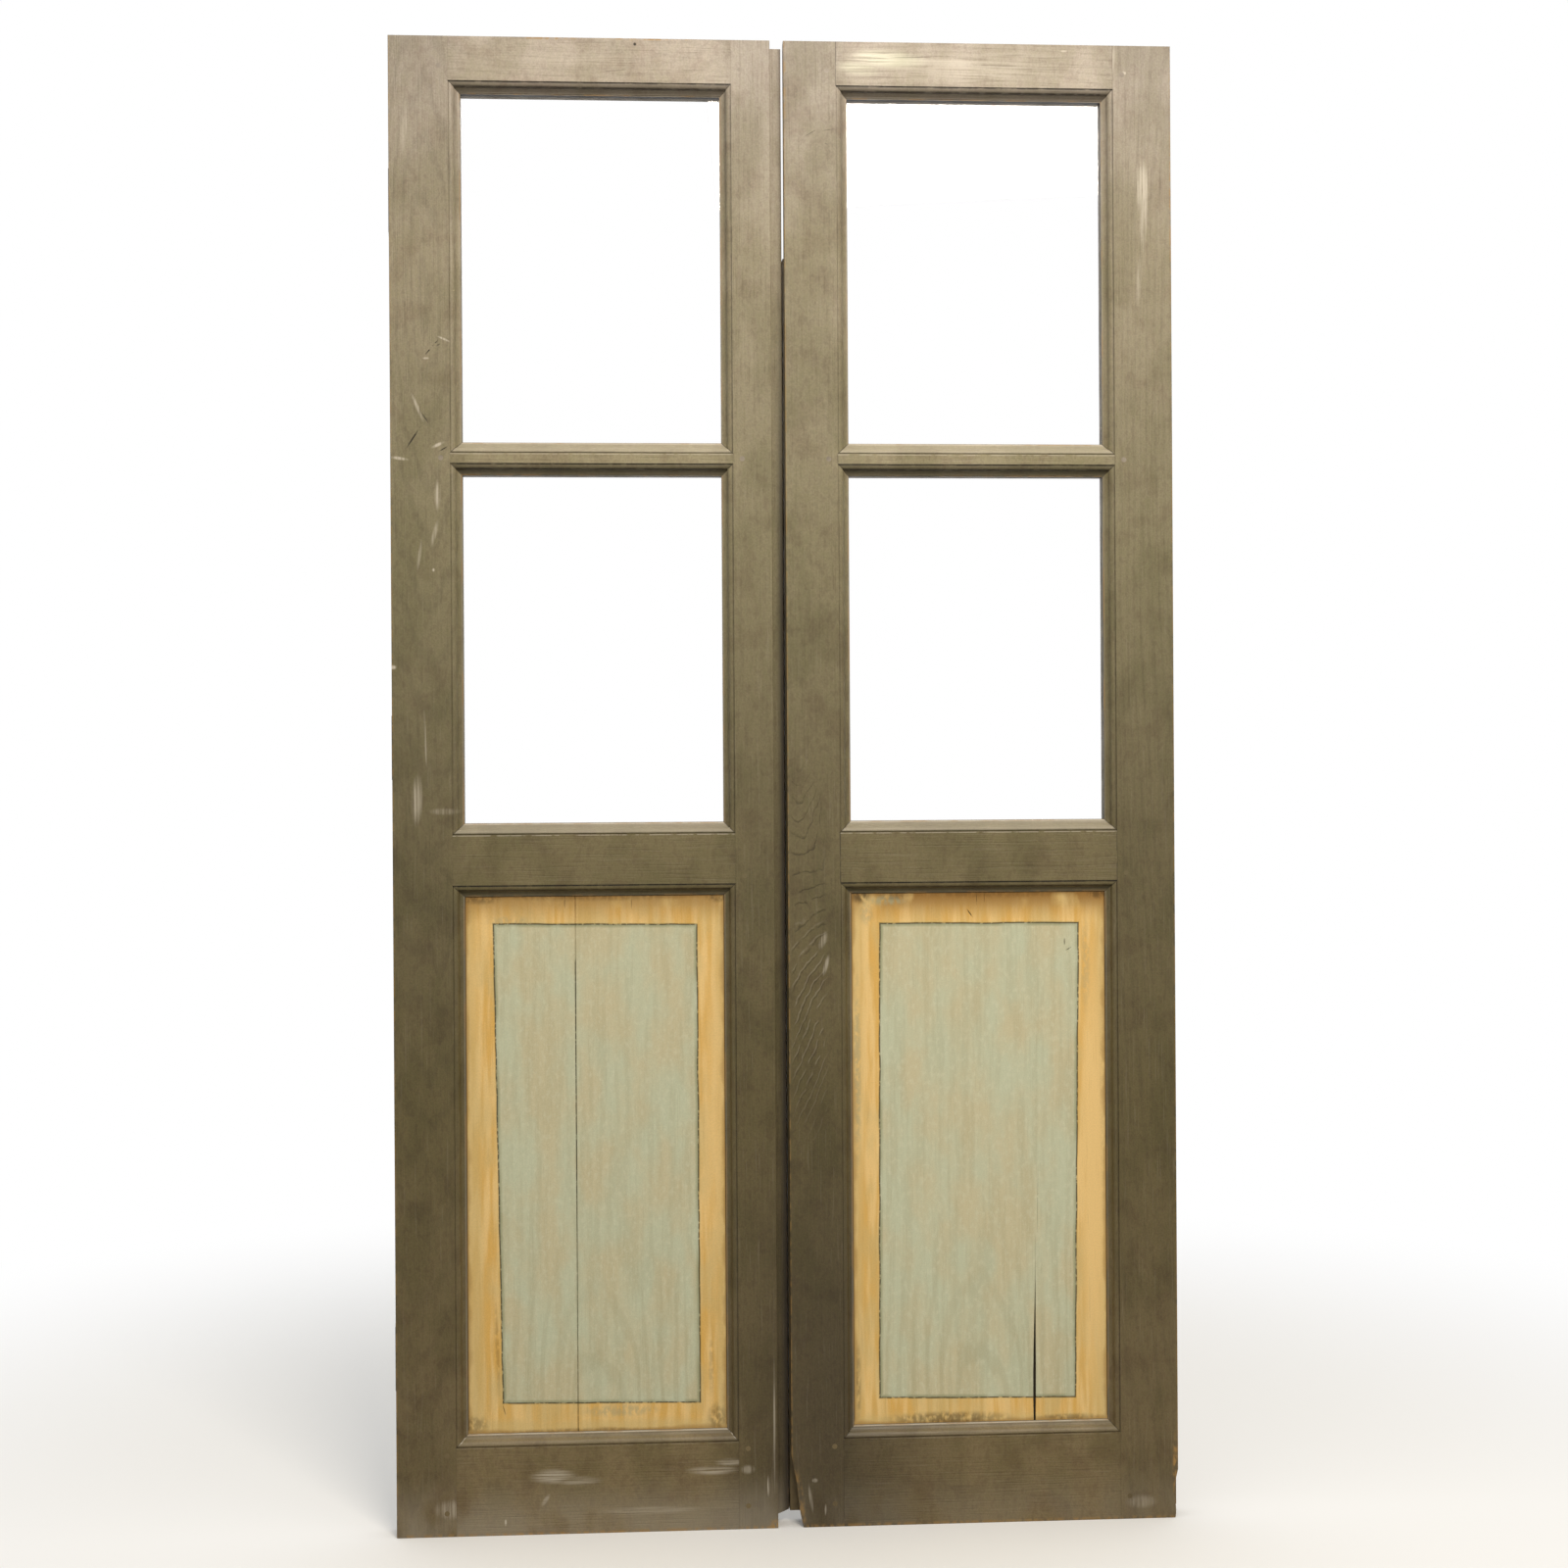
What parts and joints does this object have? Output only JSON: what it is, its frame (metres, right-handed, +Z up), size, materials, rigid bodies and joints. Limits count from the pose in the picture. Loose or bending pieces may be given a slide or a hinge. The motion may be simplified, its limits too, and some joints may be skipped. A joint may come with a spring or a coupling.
{
  "type": "glazed double door",
  "caption": "Glazed double door: framed wooden leaves with glass lights over flat painted panels, side by side on lift-off butt hinges, swinging to the back.",
  "frame": {"origin": "under the middle of the closed pair, at the leaves' feet, midway through the overall depth", "axes": "+Z up, -Y out of the front, +X to the right seen from the front"},
  "size_m": [1.1174, 0.0506, 2.1],
  "materials": {
    "painted_frame": "worn oil paint",
    "painted_panel": "worn oil paint with a painted border",
    "painted_beads": "worn oil paint",
    "painted_pegs": "worn oil paint",
    "bare_wood": "bare, aged",
    "clear_glass": "clear",
    "wrought_iron": "dark, lightly rusted",
    "turned_steel": "dull"
  },
  "bodies": {
    "root": {"left_bottom_hinge_jamb": "wrought_iron", "left_hinge_pins": "turned_steel", "left_middle_hinge_jamb": "wrought_iron", "left_top_hinge_jamb": "wrought_iron", "right_bottom_hinge_jamb": "wrought_iron", "right_hinge_pins": "turned_steel", "right_middle_hinge_jamb": "wrought_iron", "right_top_hinge_jamb": "wrought_iron"},
    "left_leaf": {"left_bottom_hinge_leaf": "wrought_iron", "left_bottom_rail": "painted_frame", "left_glazing_bar": "painted_frame", "left_hinge_stile": "painted_frame", "left_lock_rail": "painted_frame", "left_lower_bead_foot": "painted_beads", "left_lower_bead_head": "painted_beads", "left_lower_bead_hinge": "painted_beads", "left_lower_bead_meeting": "painted_beads", "left_lower_glass": "clear_glass", "left_meeting_stile": "painted_frame", "left_middle_hinge_leaf": "wrought_iron", "left_panel_inner_board": "painted_panel", "left_panel_outer_board": "painted_panel", "left_pegs": "painted_pegs", "left_top_hinge_leaf": "wrought_iron", "left_top_rail": "painted_frame", "left_upper_bead_foot": "painted_beads", "left_upper_bead_head": "painted_beads", "left_upper_bead_hinge": "painted_beads", "left_upper_bead_meeting": "painted_beads", "left_upper_glass": "clear_glass", "left_wedges": "bare_wood"},
    "right_leaf": {"right_bottom_hinge_leaf": "wrought_iron", "right_bottom_rail": "painted_frame", "right_glazing_bar": "painted_frame", "right_hinge_stile": "painted_frame", "right_lock_rail": "painted_frame", "right_lower_bead_foot": "painted_beads", "right_lower_bead_head": "painted_beads", "right_lower_bead_hinge": "painted_beads", "right_lower_bead_meeting": "painted_beads", "right_lower_glass": "clear_glass", "right_meeting_stile": "painted_frame", "right_middle_hinge_leaf": "wrought_iron", "right_panel": "painted_panel", "right_pegs": "painted_pegs", "right_top_hinge_leaf": "wrought_iron", "right_top_rail": "painted_frame", "right_upper_bead_foot": "painted_beads", "right_upper_bead_head": "painted_beads", "right_upper_bead_hinge": "painted_beads", "right_upper_bead_meeting": "painted_beads", "right_upper_glass": "clear_glass", "right_wedges": "bare_wood"}
  },
  "joints": [
    {"name": "left_swing", "type": "hinge", "parent": "root", "child": "left_leaf", "pos_m": [-0.55375, 0.0203, 0], "axis": [0, 0, 1], "range_deg": [0, 110]},
    {"name": "right_swing", "type": "hinge", "parent": "root", "child": "right_leaf", "pos_m": [0.55375, 0.0203, 0], "axis": [0, 0, -1], "range_deg": [0, 110]}
  ]
}
